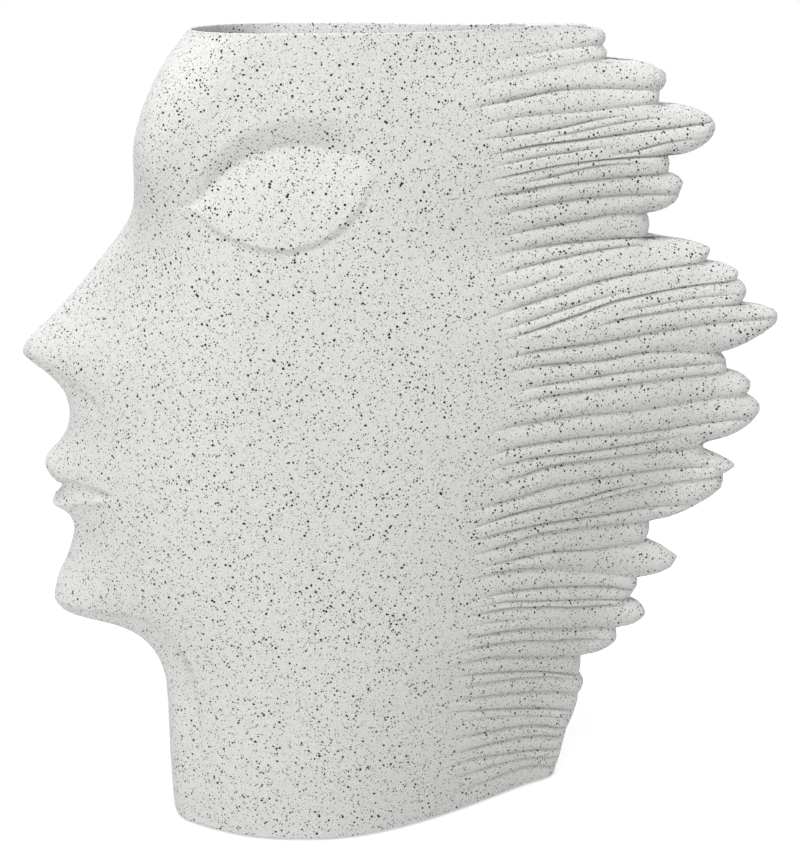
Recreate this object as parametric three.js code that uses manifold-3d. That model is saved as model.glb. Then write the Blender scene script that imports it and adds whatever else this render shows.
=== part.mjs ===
import * as THREE from 'three';
import Module from 'manifold-3d';

// Floor vase shaped as an abstract head in profile, in millimetres.
// X runs from the face (-X) to the hair (+X), Y across the joint of the two half mouldings,
// Z up from the floor. The left moulding is the one on the -Y side.

const rimHeight = 690;         // floor to the front of the rim
const overallLength = 670;     // tip of the nose to the longest lock of hair
const halfWidth = 133.5;       // half of the head's thickness at the foot
const widestAt = -80;          // X of the thickest place in plan
const bowLength = 310;         // reach of the flat bow of the sides ahead of the thickest place
const wallThickness = 10;
const rimRounding = 2.5;
const bondGap = 0.3;           // glue line at every bonded face
const grooveDepth = 4.5;       // between two locks of hair
const grooveRunIn = 45;        // length over which a groove deepens from its root
const bladeHalf = 11;          // half thickness of the free ends of the locks
const bladeBlend = 20;         // how softly the body runs into the free ends
const endRounding = 16;        // how far the rounding of a lock's end reaches
const socketDepth = 9;         // hollow under the brow
const socketCurve = 1.3;       // how the hollow deepens from the brow to the eye
const eyeRelief = 3;           // how far the eye's lower edge stands proud
const eyeCurve = 2.2;          // how the eye swells from its upper edge to its lower one
const eyeStep = 5;             // height of the step under the eye
const mouthDepth = 5;
const mouthAbove = 2.5;        // reach of the mouth's groove above and below its line
const mouthBelow = 7;

const standHeight = 2;         // the shells' lower edge above the floor
const plateRecess = 3;         // underside of the base plate above the shells' lower edge
const plateThickness = 12;
const shoulderWidth = 6;       // ledge inside the foot that the base plate is bonded against
const shoulderHeight = 10;
const shoulderTaper = 16;
const cavityRoll = 50;         // reach of the roll at the inside's blunt front
const tapeThickness = 2.5;
const tapeBottom = 60;         // both joint tapes end clear of the foot and of the rim
const tapeTop = 640;
const rearTapeHalf = 16;
const padRadius = 12;

const padThickness = standHeight + plateRecess;
const plateTop = standHeight + plateRecess + plateThickness;
const seam = bondGap / 2;

// Face outline in the joint plane, [z, x], foot to rim.
const profile = [
  [0, -211.5], [50, -213.5], [95, -214], [120, -215.5], [138, -221], [151, -234], [159, -256], [163, -281],
  [167, -300.5], [173, -312], [183, -318], [198, -315], [221, -304.5], [239, -298.5], [249, -296.5],
  [257, -298], [264, -303], [268, -310], [273, -314.5], [277, -314], [283, -309], [288, -306.5],
  [292, -310], [300, -317], [309, -320], [315, -318.5], [329, -306], [344, -297.5], [358, -295],
  [373, -298], [388.5, -310.5], [403, -329.5], [409.5, -335], [416, -333.5], [424, -328], [438, -313],
  [467, -284.5], [495, -261], [523, -239], [532, -234], [543, -230], [556, -228], [572, -226.5],
  [589, -225.7], [602, -224], [615, -220.5], [628, -216], [641, -210], [654, -203.5], [667, -195.5],
  [679, -186.3], [690, -178],
];
// How the side turns in to the outline, by the level on it: [z, reach of the rolled edge, share of the
// half width that the rolled edge brings, reach of the flare behind it that brings the rest].
const roll = [
  [0, 23, 0.69, 108], [105, 23, 0.69, 108], [134, 25, 0.68, 110], [152, 26, 0.52, 130], [166, 20, 0.38, 145],
  [178, 17, 0.3, 150], [192, 15, 0.25, 150], [272, 14, 0.22, 150], [307, 14, 0.22, 150], [354, 15, 0.26, 155],
  [385, 14, 0.24, 170], [405, 12, 0.15, 185], [440, 12, 0.12, 190], [480, 15, 0.15, 170], [520, 24, 0.3, 140],
  [545, 34, 0.5, 120], [568, 42, 0.8, 120], [590, 46, 1, 120], [640, 50, 1, 120], [690, 76, 1, 130],
];
// Where the head's body thins out into the free ends of the hair, [z, x].
const hairLine = [
  [0, 142], [60, 158], [120, 175], [180, 205], [250, 228], [320, 268], [380, 290], [440, 290], [480, 268],
  [520, 232], [580, 230], [630, 205], [665, 160], [690, 128],
];
// Front and rear limits of the inside, [z, x], before the wall is taken off.
const cavityFront = [
  [0, -211.5], [100, -214], [134, -213], [160, -214], [200, -224], [300, -230], [450, -228], [520, -226],
  [560, -226.5], [600, -224], [640, -210.5], [667, -195.5], [690, -178],
];
const cavityRear = [
  [0, 118], [60, 134], [105, 140], [140, 164], [180, 180], [250, 196], [320, 240], [380, 256], [430, 258],
  [480, 222], [515, 186], [550, 186], [600, 190], [640, 172], [667, 138], [690, 108],
];
const cavityLevels = [667, 632, 605, 585, 550, 525, 490, 450, 415, 380, 320, 250, 185, 158, 140, 95];
const fullness = [[0, 1], [120, 1], [350, 1.004], [560, 0.968], [690, 0.934]];
const rearTaper = [[0, 1.22], [120, 1.32], [300, 1.31], [690, 1.6]];
const taperEase = 0.25;        // how softly the taper behind the thickest place begins

// Locks of hair from the rim down: the lock's free edge, then the groove below it from root to notch.
const rimLine = [[25, 690], [55, 691], [105, 693.5], [140, 695], [156, 694]];
const locks = [
  { edge: [[173.5, 686]], groove: [[63, 668], [104, 673], [170, 676.5]], depth: 0.5 },
  { edge: [[175.5, 670]], groove: [[51, 649], [88, 656], [130, 662], [175, 665.5]], depth: 0.5 },
  { edge: [[222, 656.5], [227.3, 650]], groove: [[47, 632], [96, 640], [138, 645], [222, 638.5]], depth: 1 },
  { edge: [[222, 633]], groove: [[59, 619], [104, 626], [156, 627], [221.4, 628]], depth: 0.5 },
  { edge: [[248, 624.2]], groove: [[59, 608], [130, 615], [165, 619], [262.5, 619.8]], depth: 0.7 },
  { edge: [[269.3, 613.5]], groove: [[62, 595], [113, 603], [165, 605], [270.5, 607.5]], depth: 1 },
  { edge: [[268, 598.5], [257, 589.5]], groove: [[64, 575], [96, 581], [130, 586], [229.5, 583]], depth: 1 },
  { edge: [[232.3, 575]], groove: [[62, 561], [131, 570], [231.3, 568.7]], depth: 1 },
  { edge: [[244.9, 560]], groove: [[68, 544], [97, 551], [131, 555], [242, 550.5]], depth: 1 },
  { edge: [[237, 542]], groove: [[73, 528], [114, 535], [149, 538], [213, 534]], depth: 1 },
  { edge: [[217, 523]], groove: [[67, 512], [98, 518], [168, 519], [213, 511.5]], depth: 1 },
  { edge: [[245, 508.5]], groove: [[65, 496], [98, 503], [132, 508], [263, 506]], depth: 0.8 },
  { edge: [[271, 502], [269, 496]], groove: [[65, 463], [98, 472], [167, 487], [267, 491.5]], depth: 0.9 },
  { edge: [[285, 486.5], [297, 481]], groove: [[78, 444], [115, 453], [185, 469], [295, 475.5]], depth: 1 },
  { edge: [[304.7, 465]], groove: [[82, 435], [141, 445], [194, 454], [300, 454.5]], depth: 0.8 },
  { edge: [[322.5, 450.2], [332, 446.5]], groove: [[81, 429], [116, 435], [222, 437], [335, 441.5]], depth: 1 },
  { edge: [[330, 432.5], [311, 421.5]], groove: [[82, 417], [116, 422], [204, 421], [282, 410]], depth: 1 },
  { edge: [[286, 406]], groove: [[85, 398], [116, 404], [205, 406], [289, 402]], depth: 0.8 },
  { edge: [[291, 398]], groove: [[90, 388], [117, 394], [224, 394], [291, 393]], depth: 1 },
  { edge: [[307, 388], [313.6, 381]], groove: [[66, 366], [100, 372], [152, 374], [308.6, 371.5]], depth: 1 },
  { edge: [[319, 366.5], [322.8, 360]], groove: [[65, 344], [100, 352], [153, 354], [320, 351]], depth: 1 },
  { edge: [[312.5, 343]], groove: [[67, 326], [84, 336], [118, 341], [302, 336]], depth: 0.9 },
  { edge: [[286, 329.5]], groove: [[67, 319], [101, 325], [136, 332], [273, 324]], depth: 1 },
  { edge: [[276, 317], [298, 310]], groove: [[50, 297], [102, 305], [137, 311], [302.3, 304.8]], depth: 1 },
  { edge: [[297, 300]], groove: [[49, 278], [102, 290], [193, 297], [291.8, 297]], depth: 1 },
  { edge: [[293.5, 288.5], [285, 278.5]], groove: [[47, 268], [121, 275], [176, 272], [262, 269.5]], depth: 1 },
  { edge: [[256, 263]], groove: [[51, 254], [86, 259], [121, 266], [227, 253]], depth: 1 },
  { edge: [[227.8, 245.5]], groove: [[60, 239], [86, 244], [122, 245], [224, 234.5]], depth: 1 },
  { edge: [[255.8, 216.5], [248, 205]], groove: [[49, 233], [86, 235], [122, 231], [160, 219], [218, 198]],
    depth: 1 },
  { edge: [[218.8, 192]], groove: [[56, 212], [87, 214], [123, 211], [181, 198], [214.5, 185]], depth: 1 },
  { edge: [[212.5, 181.3]], groove: [[47, 199], [87, 199], [124, 193], [162, 182], [209.8, 177.4]], depth: 1 },
  { edge: [[226, 165.5], [224, 156]], groove: [[43, 175], [70, 177], [106, 174], [144, 163], [199, 148.8]],
    depth: 1 },
  { edge: [[201.5, 143]], groove: [[35, 163], [70, 166], [106, 162], [145, 151], [201, 137.5]], depth: 0.9 },
  { edge: [[192, 128.2]], groove: [[35, 153], [70, 153], [107, 144], [168.8, 121.7]], depth: 1 },
  { edge: [[168.5, 113]], groove: [[33, 143], [70, 138], [108, 129], [167, 102]], depth: 0.9 },
  { edge: [[171.8, 94.5]], groove: [[33, 120], [71, 114], [108, 106], [167.8, 84.4]], depth: 0.9 },
  { edge: [[166.5, 76]], groove: [[35, 110], [90, 95], [164, 67]], depth: 0.9 },
  { edge: [[162, 59]], groove: [[33, 80], [72, 76], [109, 70], [157.8, 49]], depth: 0.9 },
  { edge: [[157, 45]], groove: [[31, 64], [72, 62], [110, 57], [156, 40]], depth: 1 },
  { edge: [[154.5, 33]], groove: [[27, 49], [63, 52], [91, 46], [153, 27]], depth: 0.8 },
  { edge: [[152.5, 23]], groove: [[28, 33], [54, 37], [91, 36], [151.5, 19]], depth: 0.7 },
  { edge: [[150, 14]], groove: [[40, 18], [73, 22], [111, 23], [148, 10]], depth: 0.8 },
];
const lastFreeEdge = [147, 5];
const footPlaces = [25, 100, 146];

// Brow and the two edges of the eye on the side of the head, [x, z].
const browLine = [[-215, 536], [-187, 556], [-151, 594], [-120, 616], [-75, 627], [-30, 624], [35, 606]];
const upperLid = [[-171, 552], [-160, 568], [-126, 591], [-78, 604], [-47, 599], [-16, 579], [35, 570]];
const lowerLid = [[-171, 550], [-146, 529], [-97, 515], [-64, 523], [-36, 544], [-16, 576], [35, 500]];
const mouthLine = [[-330, 287], [-308, 289], [-297, 297], [-261, 298.5], [-240, 297]];
// Places along the length between which the hollow and the eye come up and die away again.
const socketStart = [-186, -135];
const socketEnd = [-66, -12];
const eyeStart = [-171, -141];
const eyeEnd = [-34, -16];
const mouthEnd = [-300, -238];

// Levels that must fall on a row of the face: foot edge of the chin, lips, mouth, nose and brow.
const faceLevels = [163, 183, 249, 273, 288, 309, 358, 409.5, 556];

// The lists above are drawn at one size; these carry them to the height and length asked for.
const lockEnds = locks.flatMap((lock) => [...lock.edge, lock.groove.at(-1)]);
const drawnTip = Math.max(...lockEnds.map(([x]) => x));
const drawnNose = Math.min(...profile.map(([, x]) => x));
const up = rimHeight / profile.at(-1)[0];
const along = overallLength / (drawnTip - drawnNose);

function sized(points) {
  return points.map(([x, z]) => [x * along, z * up]);
}

function curve(knots, atScale, valueScale, entry = 1) {
  const at = knots.map((knot) => knot[0] * atScale);
  const value = knots.map((knot) => knot[entry] * valueScale);
  const slope = at.slice(1).map((a, i) => (value[i + 1] - value[i]) / (a - at[i]));
  const tangent = value.map((_, i) => {
    if (i === 0) return slope[0];
    if (i === slope.length) return slope[i - 1];
    const product = slope[i - 1] * slope[i];
    return product > 0 ? (2 * product) / (slope[i - 1] + slope[i]) : 0;
  });
  return (q) => {
    const clamped = Math.min(Math.max(q, at[0]), at[at.length - 1]);
    let i = 0;
    while (i < slope.length - 1 && clamped > at[i + 1]) i += 1;
    const step = at[i + 1] - at[i];
    const u = (clamped - at[i]) / step;
    const w = 1 - u;
    return value[i] * (1 + 2 * u) * w * w + value[i + 1] * u * u * (3 - 2 * u)
      + step * (tangent[i] * u * w * w - tangent[i + 1] * u * u * w);
  };
}

function clamp01(t) {
  return Math.min(Math.max(t, 0), 1);
}

function smooth(t) {
  const c = clamp01(t);
  return c * c * (3 - 2 * c);
}

function mix(a, b, t) {
  return a + (b - a) * t;
}

// Rises smoothly from 0 to 1 between two drawn places along the length.
function ramp(x, [from, to]) {
  return smooth((x / along - from) / (to - from));
}

const profileAt = curve(profile, up, along);
const rollReachAt = curve(roll, up, along, 1);
const rollShareAt = curve(roll, up, 1, 2);
const flareReachAt = curve(roll, up, along, 3);
const hairLineAt = curve(hairLine, up, along);
const cavityFrontAt = curve(cavityFront, up, along);
const cavityRearAt = curve(cavityRear, up, along);
const fullnessAt = curve(fullness, up, 1);
const rearTaperAt = curve(rearTaper, up, 1);
const browAt = curve(browLine, along, up);
const upperLidAt = curve(upperLid, along, up);
const lowerLidAt = curve(lowerLid, along, up);
const mouthAt = curve(mouthLine, along, up);
const rimRiseAt = curve(rimLine, along, up);

// Half thickness of the sides alone: a flat bow in front of the thickest place, a taper behind it.
function sideWidth(x, z) {
  const widest = halfWidth * fullnessAt(z);
  const bow = Math.min(Math.abs(x - widestAt) / bowLength, 1);
  if (x < widestAt) return widest * Math.sqrt(1 - bow * bow);
  const bodyLength = hairLineAt(z) - widestAt;
  const back = (x - widestAt) / bodyLength;
  const eased = (Math.hypot(back, taperEase) - taperEase) / (Math.hypot(1, taperEase) - taperEase);
  const bowDrop = 0.5 * (bodyLength / bowLength) ** 2;
  const body = widest * (1 - bowDrop * back * back - (1 - bowDrop) * eased ** rearTaperAt(z));
  return 0.5 * (body + bladeHalf + Math.hypot(body - bladeHalf, bladeBlend));
}

// The face outline as points from the foot to the rim, and its length up to each of them.
const outlineSteps = 1200;
const outline = Array.from({ length: outlineSteps + 1 }, (_, i) => {
  const level = (rimHeight * i) / outlineSteps;
  return [profileAt(level), level];
});
const outlineLength = [0];
outline.slice(1).forEach(([x, z], i) => {
  outlineLength.push(outlineLength[i] + Math.hypot(x - outline[i][0], z - outline[i][1]));
});

// The same as straight pieces with the roll that holds there, run on below the foot and above the rim.
const runOn = 240;
const [topX, topLevel] = outline.at(-1);
const [nextX, nextLevel] = outline.at(-2);
const topLean = (topX - nextX) / (topLevel - nextLevel);
const runOnOutline = [[outline[0][0], -runOn], ...outline, [topX + topLean * runOn, topLevel + runOn]];
const outlinePieces = runOnOutline.slice(1).map(([x, z], i) => {
  const [startX, startZ] = runOnOutline[i];
  const length = Math.hypot(x - startX, z - startZ);
  const middle = (startZ + z) / 2;
  return {
    startX,
    startZ,
    length,
    runX: (x - startX) / length,
    runZ: (z - startZ) / length,
    reach: rollReachAt(middle),
    share: rollShareAt(middle),
    flareReach: flareReachAt(middle),
  };
});

// Soft distance behind the face outline, and the roll that holds there. Every piece of the outline counts by
// the inverse cube of its distance: near the outline this is the distance to it, and further in nose, lips
// and throat melt into one even surface.
function behindOutline(x, z) {
  const leastOff = 1e-6;
  const sum = { count: 0, reach: 0, share: 0, flareReach: 0 };
  outlinePieces.forEach((piece) => {
    const toX = x - piece.startX;
    const toZ = z - piece.startZ;
    const start = -(toX * piece.runX + toZ * piece.runZ);
    const end = start + piece.length;
    const off = Math.max((toX * piece.runZ - toZ * piece.runX) ** 2, leastOff);
    const count = (end / Math.sqrt(off + end * end) - start / Math.sqrt(off + start * start)) / off;
    sum.count += count;
    sum.reach += count * piece.reach;
    sum.share += count * piece.share;
    sum.flareReach += count * piece.flareReach;
  });
  return {
    behind: x > profileAt(z) ? Math.sqrt(2 / sum.count) : 0,
    reach: sum.reach / sum.count,
    share: sum.share / sum.count,
    flareReach: sum.flareReach / sum.count,
  };
}

// Rises steeply from 0, as round an edge, and is level from 1 on.
function rolled(t) {
  return Math.sqrt(1 - (1 - clamp01(t)) ** 3);
}

// Half thickness of the head at one place of its side view.
function headWidth(x, z) {
  const { behind, reach, share, flareReach } = behindOutline(x, z);
  const flare = 1 - (1 - clamp01(behind / flareReach)) ** 2;
  return mix(flare, rolled(behind / reach), share) * sideWidth(x, z);
}

// Hollow under the brow, the eye that swells out of it, and the line of the mouth.
function faceRelief(x, z) {
  const brow = browAt(x);
  const upper = upperLidAt(x);
  const lower = lowerLidAt(x);
  const hollow = socketDepth * ramp(x, socketStart) * (1 - ramp(x, socketEnd));
  const proud = eyeRelief * ramp(x, eyeStart) * (1 - ramp(x, eyeEnd));
  let relief = 0;
  if (z >= upper) {
    relief -= hollow * clamp01((brow - z) / Math.max(brow - upper, 1)) ** socketCurve;
  } else if (z >= lower) {
    const down = (upper - z) / Math.max(upper - lower, 1);
    relief += (hollow + proud) * (1 - (1 - down) ** eyeCurve) - hollow;
  } else {
    relief += proud * (1 - clamp01((lower - z) / eyeStep));
  }
  const offLine = z - mouthAt(x);
  const reach = offLine > 0 ? mouthAbove : mouthBelow;
  const deep = mouthDepth * (1 - ramp(x, mouthEnd));
  return relief - deep * Math.exp(-((offLine / reach) ** 2));
}

// Level on the face outline that a row starting at this level of the hair line runs to.
function faceLevel(rootLevel) {
  const share = (Math.min(rootLevel, rimHeight) - standHeight) / (rimHeight - standHeight);
  const wanted = outlineLength[outlineSteps] * share;
  let i = 0;
  while (i < outlineSteps && outlineLength[i + 1] < wanted) i += 1;
  return Math.max((rimHeight * i) / outlineSteps, standHeight);
}

// One row of the outer surface as a path from the face outline to the free edge of the hair.
function hairRow(upperGroove, lowerGroove, share, end, depth) {
  const upperPath = curve(upperGroove, 1, 1);
  const lowerPath = curve(lowerGroove, 1, 1);
  const upperEnd = upperGroove.at(-1);
  const lowerEnd = lowerGroove.at(-1);
  const root = mix(upperGroove[0][0], lowerGroove[0][0], share);
  const miss = end[1] - mix(upperEnd[1], lowerEnd[1], share);
  const levelAt = (u) => mix(
    upperPath(mix(upperGroove[0][0], upperEnd[0], u)),
    lowerPath(mix(lowerGroove[0][0], lowerEnd[0], u)),
    share,
  ) + miss * u ** 3;
  return { root, rootLevel: levelAt(0), end, levelAt, depth };
}

const crestShare = 0.56;       // where a lock with one point on its free edge stands highest
const firstPointShare = 0.33;  // and where the two points of a broad lock lie
const secondPointShare = 0.73;
const footLine = footPlaces.map((x) => [x * along, standHeight]);
const bands = locks.map((lock) => ({ edge: sized(lock.edge), groove: sized(lock.groove), depth: lock.depth }));
bands.push({ edge: sized([lastFreeEdge]), groove: footLine, depth: 0 });

const rows = [];
let upperGroove = sized(rimLine);
let upperDepth = 0;
bands.forEach((band) => {
  rows.push(hairRow(upperGroove, upperGroove, 0, upperGroove.at(-1), upperDepth));
  const shares = band.edge.length === 1 ? [crestShare] : [firstPointShare, secondPointShare];
  band.edge.forEach((point, i) => {
    rows.push(hairRow(upperGroove, band.groove, shares[i], point, 0));
  });
  upperGroove = band.groove;
  upperDepth = band.depth;
});
rows.push(hairRow(footLine, footLine, 0, footLine.at(-1), 0));
rows.forEach((row) => {
  row.faceLevel = faceLevel(row.rootLevel);
});
rows[0].faceLevel = rimHeight;
rows.at(-1).faceLevel = standHeight;
faceLevels.forEach((level) => {
  const inner = rows.slice(1, -1);
  const nearest = inner.reduce((a, b) => (
    Math.abs(a.faceLevel - level * up) < Math.abs(b.faceLevel - level * up) ? a : b));
  nearest.faceLevel = level * up;
});

const edgeSteps = [0, 1.5, 5, 13, 27];
const faceColumns = 15;
const hairShares = [0, 0.14, 0.29, 0.45, 0.62, 0.81, 1];
const endSteps = [9, 3, 0];

function rowPoints(row) {
  const points = [];
  const front = profileAt(row.faceLevel);
  const steps = [...edgeSteps];
  for (let i = 1; i <= faceColumns; i += 1) {
    steps.push(mix(edgeSteps.at(-1), row.root - front, i / (faceColumns + 1)));
  }
  steps.forEach((behind) => {
    const x = front + behind;
    const z = mix(row.faceLevel, row.rootLevel, smooth(behind / (row.root - front)));
    const width = behind === 0 ? seam : headWidth(x, z) + faceRelief(x, z);
    points.push([x, -Math.max(width, seam), z]);
  });
  const lastInside = row.end[0] - endRounding;
  const hairX = [
    ...hairShares.map((share) => mix(row.root, lastInside, share)),
    ...endSteps.map((step) => row.end[0] - step),
  ];
  hairX.forEach((x) => {
    const z = row.levelAt((x - row.root) / (row.end[0] - row.root));
    const groove = grooveDepth * row.depth * smooth((x - row.root) / grooveRunIn);
    const fromEnd = clamp01((row.end[0] - x) / endRounding);
    const rounding = Math.sqrt(1 - (1 - fromEnd) ** 2);
    const width = (headWidth(x, z) + faceRelief(x, z) - groove) * rounding;
    points.push([x, -Math.max(width, seam), z]);
  });
  return points;
}

// The rim's own row, drawn in by the rounding, above the rows of the sides.
const topRow = rowPoints(rows[0]);
const drawIn = 1 - rimRounding / halfWidth;
const rimRow = topRow.map(([x, y, z]) => [widestAt + (x - widestAt) * drawIn, Math.min(y * drawIn, -seam), z]);
const belowRim = topRow.map(([x, y, z]) => [x, y, z - rimRounding]);
const outerRows = [rimRow, belowRim, ...rows.slice(1).map(rowPoints)];

// Half thickness that the inside is measured from: the head without its face and free hair ends.
function coreWidth(x, z) {
  const blunt = rolled((x - cavityFrontAt(z)) / cavityRoll) * sideWidth(x, z);
  return Math.min(blunt, headWidth(x, z)) + Math.min(faceRelief(x, z), 0);
}

const innerShares = [0, 0.0006, 0.003, 0.012, 0.04, 0.1, 0.2, 0.33, 0.48, 0.64, 0.8, 0.92, 1];

// Section of the inside at one level, from the front to its flat rear wall, set in by the given depth.
function innerSection(z, inset) {
  const front = cavityFrontAt(z);
  const probe = 0.2;
  const section = innerShares.map((share) => {
    const x = mix(front, cavityRearAt(z), share);
    if (share === 0) return [x + inset, 0];
    const rise = (coreWidth(x + probe, z) - coreWidth(x - probe, z)) / (2 * probe);
    const length = Math.hypot(rise, 1);
    return [x + (inset * rise) / length, coreWidth(x, z) - inset / length];
  });
  section.push([section.at(-1)[0], 0]);
  return section.map(([x, y]) => [x, -Math.max(y, seam)]);
}

function innerRow(z, extra) {
  return innerSection(z, wallThickness + extra).map(([x, y]) => [x, y, z]);
}

const shoulderTop = plateTop + bondGap + shoulderHeight;
const seatRow = innerRow(standHeight, 0);
const lipRow = innerRow(rimHeight, -rimRounding).map(([x, y]) => [x, y, rimRiseAt(x)]);
const belowLip = innerRow(rimHeight, 0).map(([x, y]) => [x, y, rimRiseAt(x) - rimRounding]);
const sideRows = cavityLevels.map((level) => innerRow(level * up, 0));
const innerRows = [
  lipRow, belowLip, ...sideRows,
  innerRow(shoulderTop + shoulderTaper, 0), innerRow(shoulderTop, shoulderWidth),
  innerRow(plateTop + bondGap, shoulderWidth),
  seatRow.map(([x, y]) => [x, y, plateTop + bondGap]), seatRow,
];

const manifold = await Module();
manifold.setup();

// Closed surface of a piece on the -Y side, collected as triangles, or of its mirror image.
class Skin {
  constructor(mirrored = false) {
    this.mirrored = mirrored;
    this.corners = [];
  }

  triangle(a, b, c) {
    const corners = this.mirrored ? [a, c, b].map(([x, y, z]) => [x, -y, z]) : [a, b, c];
    this.corners.push(...corners.flat());
  }

  quad(a, b, c, d) {
    const first = Math.hypot(a[0] - c[0], a[1] - c[1], a[2] - c[2]);
    const second = Math.hypot(b[0] - d[0], b[1] - d[1], b[2] - d[2]);
    if (first <= second) {
      this.triangle(a, b, c);
      this.triangle(a, c, d);
    } else {
      this.triangle(a, b, d);
      this.triangle(b, c, d);
    }
  }

  sheet(grid, flipped) {
    for (let j = 0; j < grid.length - 1; j += 1) {
      for (let i = 0; i < grid[j].length - 1; i += 1) {
        const corners = [grid[j][i], grid[j + 1][i], grid[j + 1][i + 1], grid[j][i + 1]];
        if (flipped) corners.reverse();
        this.quad(...corners);
      }
    }
  }

  // Flat face inside a ring, seen along the axis that is neither across nor up.
  cap(ring, across, up, flipped) {
    const flat = ring.map((point) => [point[across], point[up]]);
    const turning = flat.reduce((sum, [a, b], i) => {
      const [c, d] = flat[(i + 1) % flat.length];
      return sum + a * d - b * c;
    }, 0);
    const order = turning > 0 ? ring : [...ring].reverse();
    const outline = order.map((point) => [point[across], point[up]]);
    manifold.triangulate([outline]).forEach(([i, j, k]) => {
      const corners = [order[i], order[j], order[k]];
      if (flipped) corners.reverse();
      this.triangle(...corners);
    });
  }

  geometry() {
    const geometry = new THREE.BufferGeometry();
    geometry.setAttribute('position', new THREE.Float32BufferAttribute(this.corners, 3));
    geometry.computeVertexNormals();
    return geometry;
  }
}

function column(grid, i) {
  return grid.map((row) => row.at(i));
}

function shellGeometry(mirrored) {
  const skin = new Skin(mirrored);
  const ring = (outside, inside) => [...outside, ...[...inside].reverse()];
  skin.sheet(outerRows, false);
  skin.sheet(innerRows, true);
  skin.cap(ring(rimRow, lipRow), 0, 1, false);
  skin.cap(ring(outerRows.at(-1), innerRows.at(-1)), 0, 1, true);
  skin.cap(ring(column(outerRows, 0), column(innerRows, 0)), 0, 2, true);
  skin.cap(ring(column(outerRows, -1), column(innerRows, -1)), 0, 2, true);
  return skin.geometry();
}

// Strip between two sheets of points, one on the joint and one further in.
function stripGeometry(outside, inside, turned) {
  const skin = new Skin();
  skin.sheet(outside, turned);
  skin.sheet(inside, !turned);
  const edges = [
    [outside[0], inside[0]], [inside.at(-1), outside.at(-1)],
    [column(inside, 0), column(outside, 0)], [column(outside, -1), column(inside, -1)],
  ];
  edges.forEach((edge) => skin.sheet(edge, !turned));
  return skin.geometry();
}

const tapeRows = innerRows.filter((row) => row[0][2] <= tapeTop && row[0][2] >= tapeBottom);
const frontTapeColumns = [1, 2];

function frontTape(depth) {
  return tapeRows.map((row) => {
    const left = frontTapeColumns.map((i) => [row[i][0] + depth, row[i][1] + bondGap, row[i][2]]);
    const right = left.map(([x, y, z]) => [x, -y, z]).reverse();
    return [...right, [row[0][0] + depth, 0, row[0][2]], ...left];
  });
}

function rearTape(depth) {
  return tapeRows.map((row) => {
    const [x, , z] = row.at(-1);
    return [[x - depth, rearTapeHalf, z], [x - depth, 0, z], [x - depth, -rearTapeHalf, z]];
  });
}

const plateEdge = innerSection(standHeight, wallThickness + bondGap);

function plateGeometry() {
  const side = plateEdge.slice(1, -1);
  const corners = [
    [plateEdge[0][0], 0], ...side, [plateEdge.at(-1)[0], 0], ...[...side].reverse().map(([x, y]) => [x, -y]),
  ];
  const shape = new THREE.Shape(corners.map(([x, y]) => new THREE.Vector2(x, y)));
  const geometry = new THREE.ExtrudeGeometry(shape, { depth: plateThickness, bevelEnabled: false });
  geometry.translate(0, 0, standHeight + plateRecess);
  return geometry;
}

function finish(color, roughness) {
  return new THREE.MeshStandardMaterial({ color, roughness, metalness: 0 });
}

const vase = new THREE.Group();

function add(name, geometry, material) {
  const mesh = new THREE.Mesh(geometry, material);
  mesh.name = name;
  vase.add(mesh);
  return mesh;
}

const tapeDepth = bondGap + tapeThickness;
add('left_shell', shellGeometry(false), finish(0xdcdad6, 0.75));
add('right_shell', shellGeometry(true), finish(0xdcdad6, 0.75));
add('base_plate', plateGeometry(), finish(0xb9b6b0, 0.85));
add('front_joint_tape', stripGeometry(frontTape(bondGap), frontTape(tapeDepth), false), finish(0xcfccc4, 0.8));
add('rear_joint_tape', stripGeometry(rearTape(bondGap), rearTape(tapeDepth), true), finish(0xcfccc4, 0.8));

// Pads on the base plate: share of its length from the front, and share of its half width there.
const padSides = 28;
const padPlaces = [
  ['front_left_pad', 0.11, -0.6], ['front_right_pad', 0.11, 0.6],
  ['side_left_pad', 0.5, -0.68], ['side_right_pad', 0.5, 0.68], ['rear_pad', 0.86, 0],
];
padPlaces.forEach(([name, lengthShare, widthShare]) => {
  const geometry = new THREE.CylinderGeometry(padRadius, padRadius, padThickness, padSides);
  const pad = add(name, geometry, finish(0x3a3835, 0.95));
  const x = mix(plateEdge[0][0], plateEdge.at(-1)[0], lengthShare);
  const edge = coreWidth(x, standHeight) - wallThickness;
  pad.rotation.x = Math.PI / 2;
  pad.position.set(x, edge * widthShare, padThickness / 2);
});

export default vase;
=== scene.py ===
"""Speckled floor vase shaped as a head in profile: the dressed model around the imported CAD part.

The shape lists are in millimetres, as in the part's source, and the objects are made in metres.
X runs from the face (-X) to the hair (+X), Y across the joint of the two half mouldings, Z up.
The left moulding, on the -Y side, is the one that the photograph shows.
"""

import math

import bpy
import numpy as np
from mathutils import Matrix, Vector, kdtree


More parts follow.
